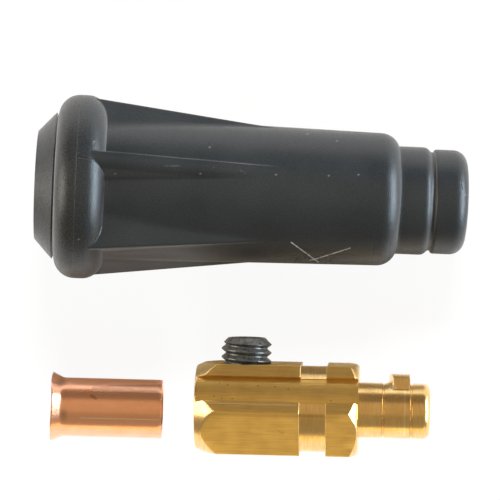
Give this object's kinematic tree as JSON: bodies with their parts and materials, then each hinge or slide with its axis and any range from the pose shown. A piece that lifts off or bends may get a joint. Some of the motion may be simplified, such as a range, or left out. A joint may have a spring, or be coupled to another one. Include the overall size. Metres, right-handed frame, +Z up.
{
  "type": "welding cable plug",
  "caption": "Welding cable plug laid out in its pieces: finned rubber sleeve, brass pin contact with clamping set screw, flared copper ferrule.",
  "frame": {"origin": "on the table, at the middle of the ground that the laid-out pieces cover", "axes": "+X from the sleeve's nose to its cable end, +Y from the contact towards the sleeve, +Z up from the table"},
  "size_m": [0.1018, 0.0837, 0.0428],
  "materials": {
    "sleeve_rubber": "moulded, slightly satin, with a few scuffs",
    "contact_brass": "turned, with fine tool lines along the drawn flats",
    "ferrule_copper": "drawn copper tube, bright, with light handling marks",
    "screw_steel": "blackened steel, oiled"
  },
  "bodies": {
    "plug_pieces": {"sleeve": "sleeve_rubber", "contact": "contact_brass", "ferrule": "ferrule_copper"},
    "screw": {"set_screw": "screw_steel"}
  },
  "joints": [
    {"name": "screw_travel", "type": "slide", "parent": "plug_pieces", "child": "screw", "axis": [0, 1, 0], "range_m": [-0.0057, 0.0019]}
  ]
}
